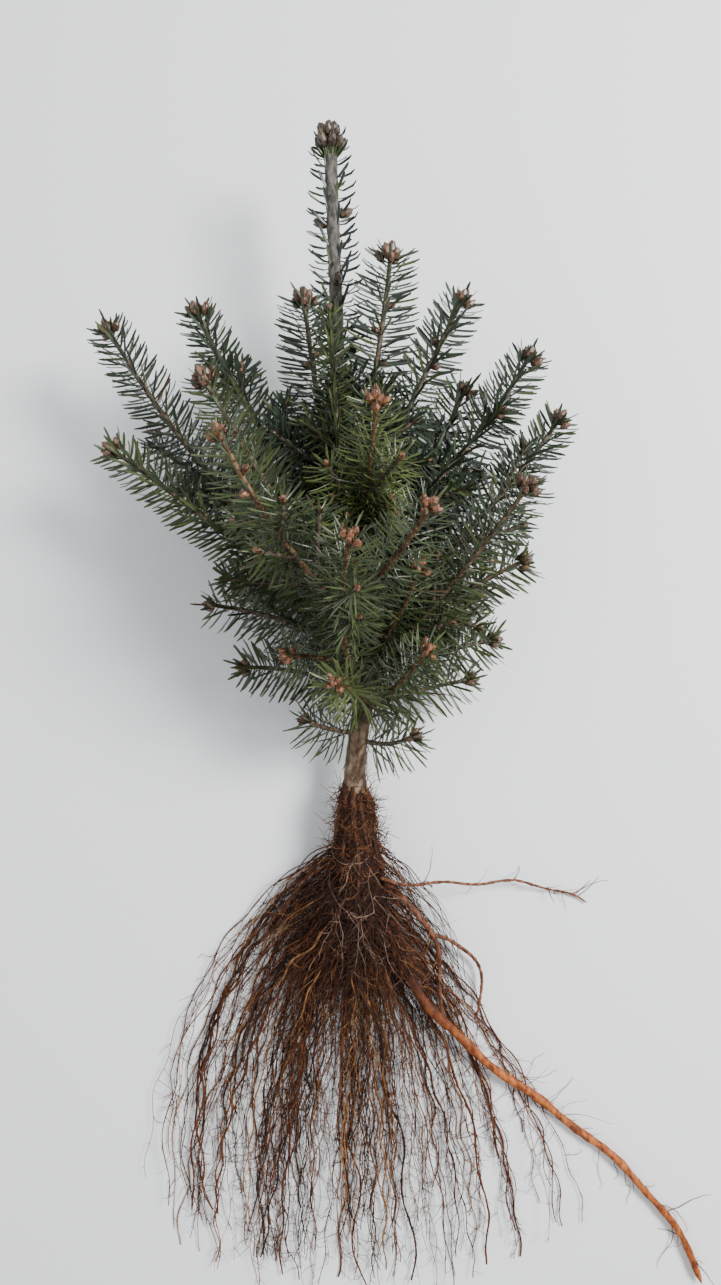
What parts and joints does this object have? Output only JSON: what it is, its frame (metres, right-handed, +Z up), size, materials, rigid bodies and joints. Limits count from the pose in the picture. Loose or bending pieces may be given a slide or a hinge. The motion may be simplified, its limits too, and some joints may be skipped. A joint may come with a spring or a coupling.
{
  "type": "bare-root balsam fir transplant",
  "caption": "Young balsam fir lifted with bare roots and laid on its back: slim stem, upswept shoots of flat needles with bud clusters, matted root stock and one long thick root.",
  "frame": {"origin": "on the floor under the middle of the lying plant's bounding box", "axes": "+Y along the stem from the roots to the leader's tip, +X to the stem's right seen from above, +Z up from the floor"},
  "size_m": [0.3412, 0.645, 0.1562],
  "materials": {
    "bark": "young bark, smooth and slightly rough",
    "foliage": "waxy needles, satin",
    "root_wood": "bare root bark, matt",
    "root_fibre": "fine earthy roots, matt"
  },
  "bodies": {
    "root": {"trunk": "bark", "bough_top_left": "bark", "bough_right_upper": "bark", "bough_left_high": "bark", "bough_right_high": "bark", "bough_rear_left": "bark", "bough_rear_right": "bark", "bough_left_middle": "bark", "bough_left_low": "bark", "bough_right_middle": "bark", "bough_right_front": "bark", "bough_right_low": "bark", "bough_front": "bark", "bough_left_base": "bark", "foliage_leader": "foliage", "foliage_top_right_inner": "foliage", "foliage_top_left_inner": "foliage", "foliage_top_front": "foliage", "foliage_middle_front": "foliage", "foliage_top_right": "foliage", "foliage_top_left": "foliage", "foliage_right_upper": "foliage", "foliage_right_back": "foliage", "foliage_right_inner": "foliage", "foliage_rear_centre": "foliage", "foliage_left_high": "foliage", "foliage_right_high": "foliage", "foliage_rear_left": "foliage", "foliage_rear_right": "foliage", "foliage_left_middle": "foliage", "foliage_left_low": "foliage", "foliage_left_twig": "foliage", "foliage_right_middle": "foliage", "foliage_rear_low_left": "foliage", "foliage_front_low_right": "foliage", "foliage_rear_low_right": "foliage", "foliage_left_base_front": "foliage", "foliage_right_front": "foliage", "foliage_right_low": "foliage", "foliage_left_base": "foliage", "foliage_front_base_left": "foliage", "foliage_front_base_right": "foliage", "foliage_right_base": "foliage", "foliage_base_left": "foliage", "foliage_base_right": "foliage", "foliage_front_left": "foliage", "foliage_front_right": "foliage", "foliage_front_centre": "foliage", "root_long": "root_wood", "root_medium": "root_wood", "root_thin_right": "root_fibre", "roots_far_left": "root_fibre", "roots_left": "root_fibre", "roots_middle": "root_fibre", "roots_right": "root_fibre", "roots_far_right": "root_fibre", "root_stock": "root_fibre"}
  },
  "joints": []
}
